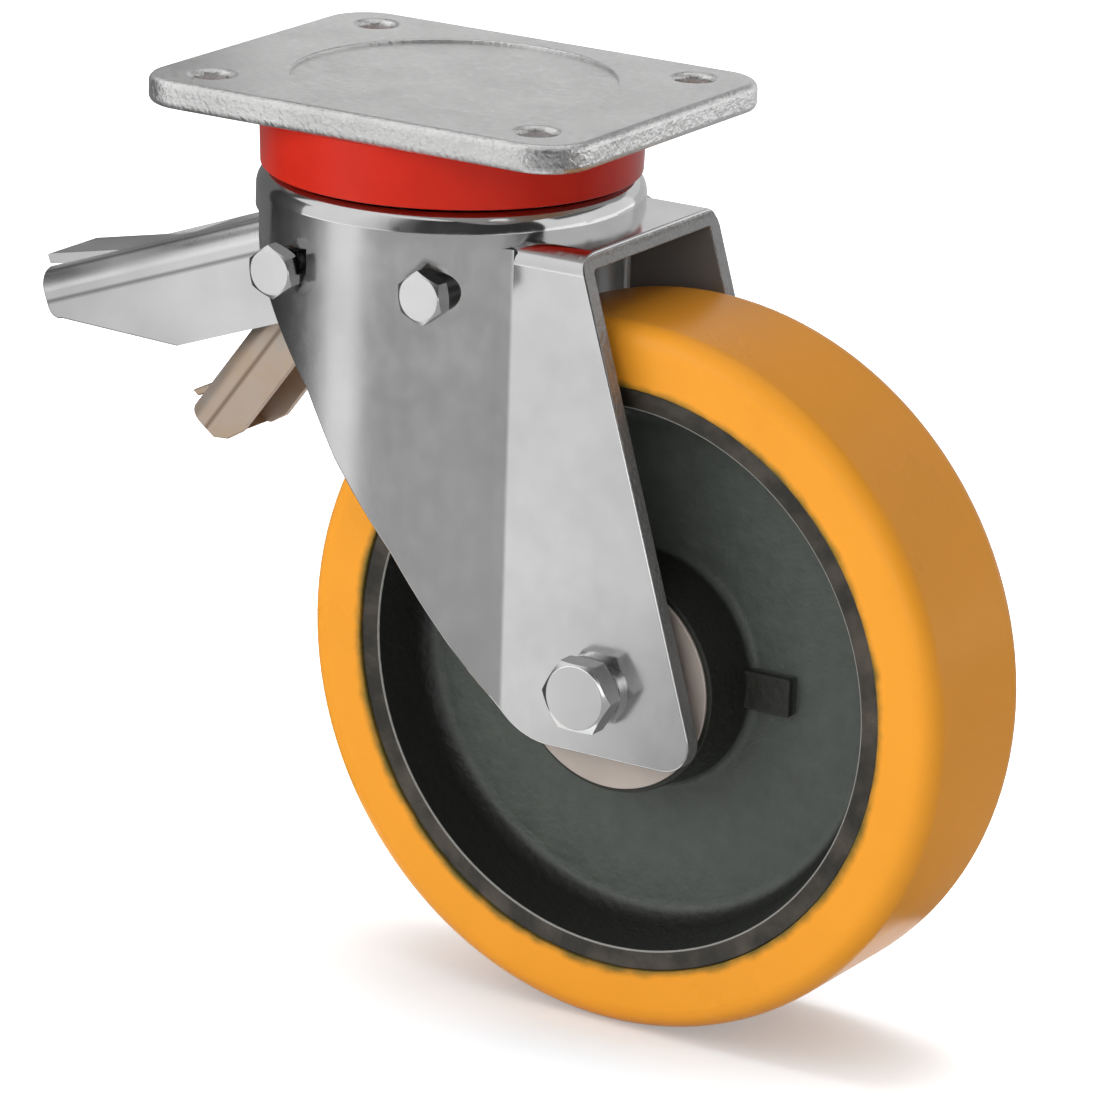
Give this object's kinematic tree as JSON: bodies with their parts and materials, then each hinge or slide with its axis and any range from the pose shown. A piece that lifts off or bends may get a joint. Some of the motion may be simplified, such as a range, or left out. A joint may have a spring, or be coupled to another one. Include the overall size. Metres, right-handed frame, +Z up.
{
  "type": "industrial castor",
  "caption": "Heavy swivel castor with a rectangular mounting plate, pressed fork, red dust seal, pedal brake at the front and a cast wheel with a bonded orange tread.",
  "frame": {"origin": "swivel axis in the top face of the mounting plate", "axes": "+Z up out of the plate along the swivel axis, +X towards the trailing wheel, +Y to the far side from the picture's camera"},
  "size_m": [0.3015, 0.1207, 0.253],
  "materials": {
    "zinc_plate": "satin zinc",
    "zinc_fork": "satin zinc",
    "zinc_pedal": "bright zinc",
    "passivated": "bronze passivated zinc",
    "zinc_shoe": "bronze passivated zinc",
    "seal": "gloss red",
    "ball_steel": "polished",
    "race_steel": "ground",
    "zinc_nut": "satin zinc",
    "zinc_bolt": "bright zinc",
    "zinc_sleeve": "satin zinc",
    "shield": "pressed, warm grey",
    "core": "dark green-grey paint, machined rim",
    "tread": "satin orange"
  },
  "bodies": {
    "plate": {"mounting_plate": "zinc_plate", "dust_seal": "seal", "lower_race": "race_steel", "king_nut": "zinc_nut"},
    "swivel_balls": {"upper_balls": "ball_steel", "lower_balls": "ball_steel"},
    "fork": {"fork": "zinc_fork", "pedal_bolt": "zinc_bolt", "pedal_bolt_nut": "zinc_bolt", "pedal_sleeve": "zinc_sleeve", "shoe_bolt": "zinc_bolt", "shoe_bolt_nut": "zinc_bolt", "shoe_sleeve": "zinc_sleeve", "bolt_spacers": "zinc_sleeve", "axle_bolt": "zinc_bolt", "axle_nut": "zinc_bolt", "axle_washers": "zinc_bolt", "axle_sleeve": "zinc_sleeve", "hub_spacers": "zinc_sleeve", "bearing_inner_rings": "race_steel"},
    "lock_pedal": {"lock_pedal": "zinc_pedal"},
    "release_pedal": {"release_pedal": "passivated"},
    "brake_shoe": {"brake_shoe": "zinc_shoe"},
    "wheel": {"wheel_core": "core", "tread": "tread", "bearing_outer_rings": "race_steel", "bearing_shields": "shield"},
    "wheel_balls": {"bearing_balls": "ball_steel"}
  },
  "joints": [
    {"name": "swivel", "type": "hinge", "parent": "plate", "child": "fork", "pos_m": [0, 0, 0], "axis": [0, 0, 1], "continuous": true},
    {"name": "swivel_ball_roll", "type": "hinge", "parent": "plate", "child": "swivel_balls", "pos_m": [0, 0, 0], "axis": [0, 0, 1], "continuous": true},
    {"name": "wheel_spin", "type": "hinge", "parent": "fork", "child": "wheel", "pos_m": [0.072, 0, -0.153], "axis": [0, 1, 0], "continuous": true},
    {"name": "wheel_ball_roll", "type": "hinge", "parent": "fork", "child": "wheel_balls", "pos_m": [0.072, 0, -0.153], "axis": [0, 1, 0], "continuous": true},
    {"name": "lock_press", "type": "hinge", "parent": "fork", "child": "lock_pedal", "pos_m": [-0.0205, 0, -0.047], "axis": [0, -1, 0], "range_deg": [0, 16]},
    {"name": "release_rise", "type": "hinge", "parent": "fork", "child": "release_pedal", "pos_m": [-0.0205, 0, -0.047], "axis": [0, -1, 0], "range_deg": [-6.4, 0]},
    {"name": "shoe_press", "type": "hinge", "parent": "fork", "child": "brake_shoe", "pos_m": [0.0262, 0, -0.047], "axis": [0, -1, 0], "range_deg": [0, 3.2]}
  ],
  "couplings": [
    {"joint": "swivel_ball_roll", "follows": "swivel", "ratio": 0.5},
    {"joint": "wheel_ball_roll", "follows": "wheel_spin", "ratio": 0.595},
    {"joint": "release_rise", "follows": "lock_press", "ratio": -0.4},
    {"joint": "shoe_press", "follows": "lock_press", "ratio": 0.2}
  ]
}
